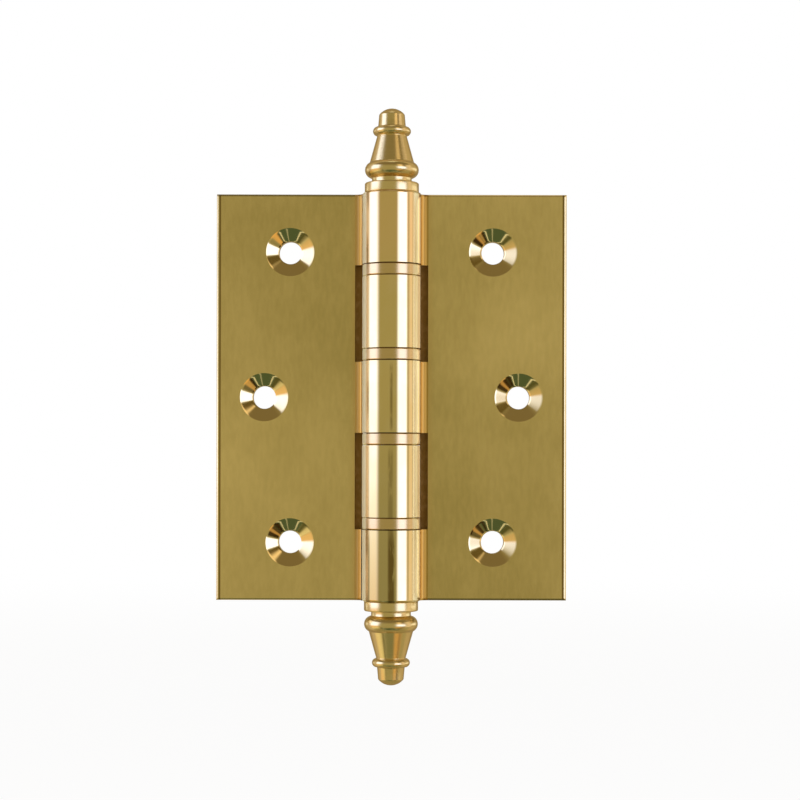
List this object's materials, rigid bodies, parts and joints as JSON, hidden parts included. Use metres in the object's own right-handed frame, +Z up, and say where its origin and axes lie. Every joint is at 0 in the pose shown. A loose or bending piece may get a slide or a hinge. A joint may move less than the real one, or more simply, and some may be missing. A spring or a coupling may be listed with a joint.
{
  "type": "butt hinge",
  "caption": "Polished brass butt hinge, opened flat, with countersunk leaves, washers between the knuckles and turned finials on the pin.",
  "frame": {"origin": "on the pin's axis, half way up the barrel, which is the middle of the opened hinge", "axes": "+Z up along the pin, +X across to the three-knuckle leaf, +Y out of the flat mounting backs; the countersinks face -Y"},
  "size_m": [0.069, 0.0115, 0.113],
  "materials": {
    "leaf_brass": "polished, faint brushing on the flat faces",
    "washer_brass": "turned satin",
    "finial_brass": "turned and polished",
    "pin_steel": "ground"
  },
  "bodies": {
    "frame_leaf": {"three_knuckle_leaf": "leaf_brass", "hinge_pin": "pin_steel", "top_finial": "finial_brass", "bottom_finial": "finial_brass"},
    "door_leaf": {"two_knuckle_leaf": "leaf_brass"},
    "washer_1": {"washer_1": "washer_brass"},
    "washer_2": {"washer_2": "washer_brass"},
    "washer_3": {"washer_3": "washer_brass"},
    "washer_4": {"washer_4": "washer_brass"}
  },
  "joints": [
    {"name": "leaf_swing", "type": "hinge", "parent": "frame_leaf", "child": "door_leaf", "pos_m": [0, 0, 0], "axis": [0, 0, 1], "range_deg": [-80, 180]},
    {"name": "washer_1_turn", "type": "hinge", "parent": "frame_leaf", "child": "washer_1", "pos_m": [0, 0, 0], "axis": [0, 0, 1], "continuous": true},
    {"name": "washer_2_turn", "type": "hinge", "parent": "frame_leaf", "child": "washer_2", "pos_m": [0, 0, 0], "axis": [0, 0, 1], "continuous": true},
    {"name": "washer_3_turn", "type": "hinge", "parent": "frame_leaf", "child": "washer_3", "pos_m": [0, 0, 0], "axis": [0, 0, 1], "continuous": true},
    {"name": "washer_4_turn", "type": "hinge", "parent": "frame_leaf", "child": "washer_4", "pos_m": [0, 0, 0], "axis": [0, 0, 1], "continuous": true}
  ]
}
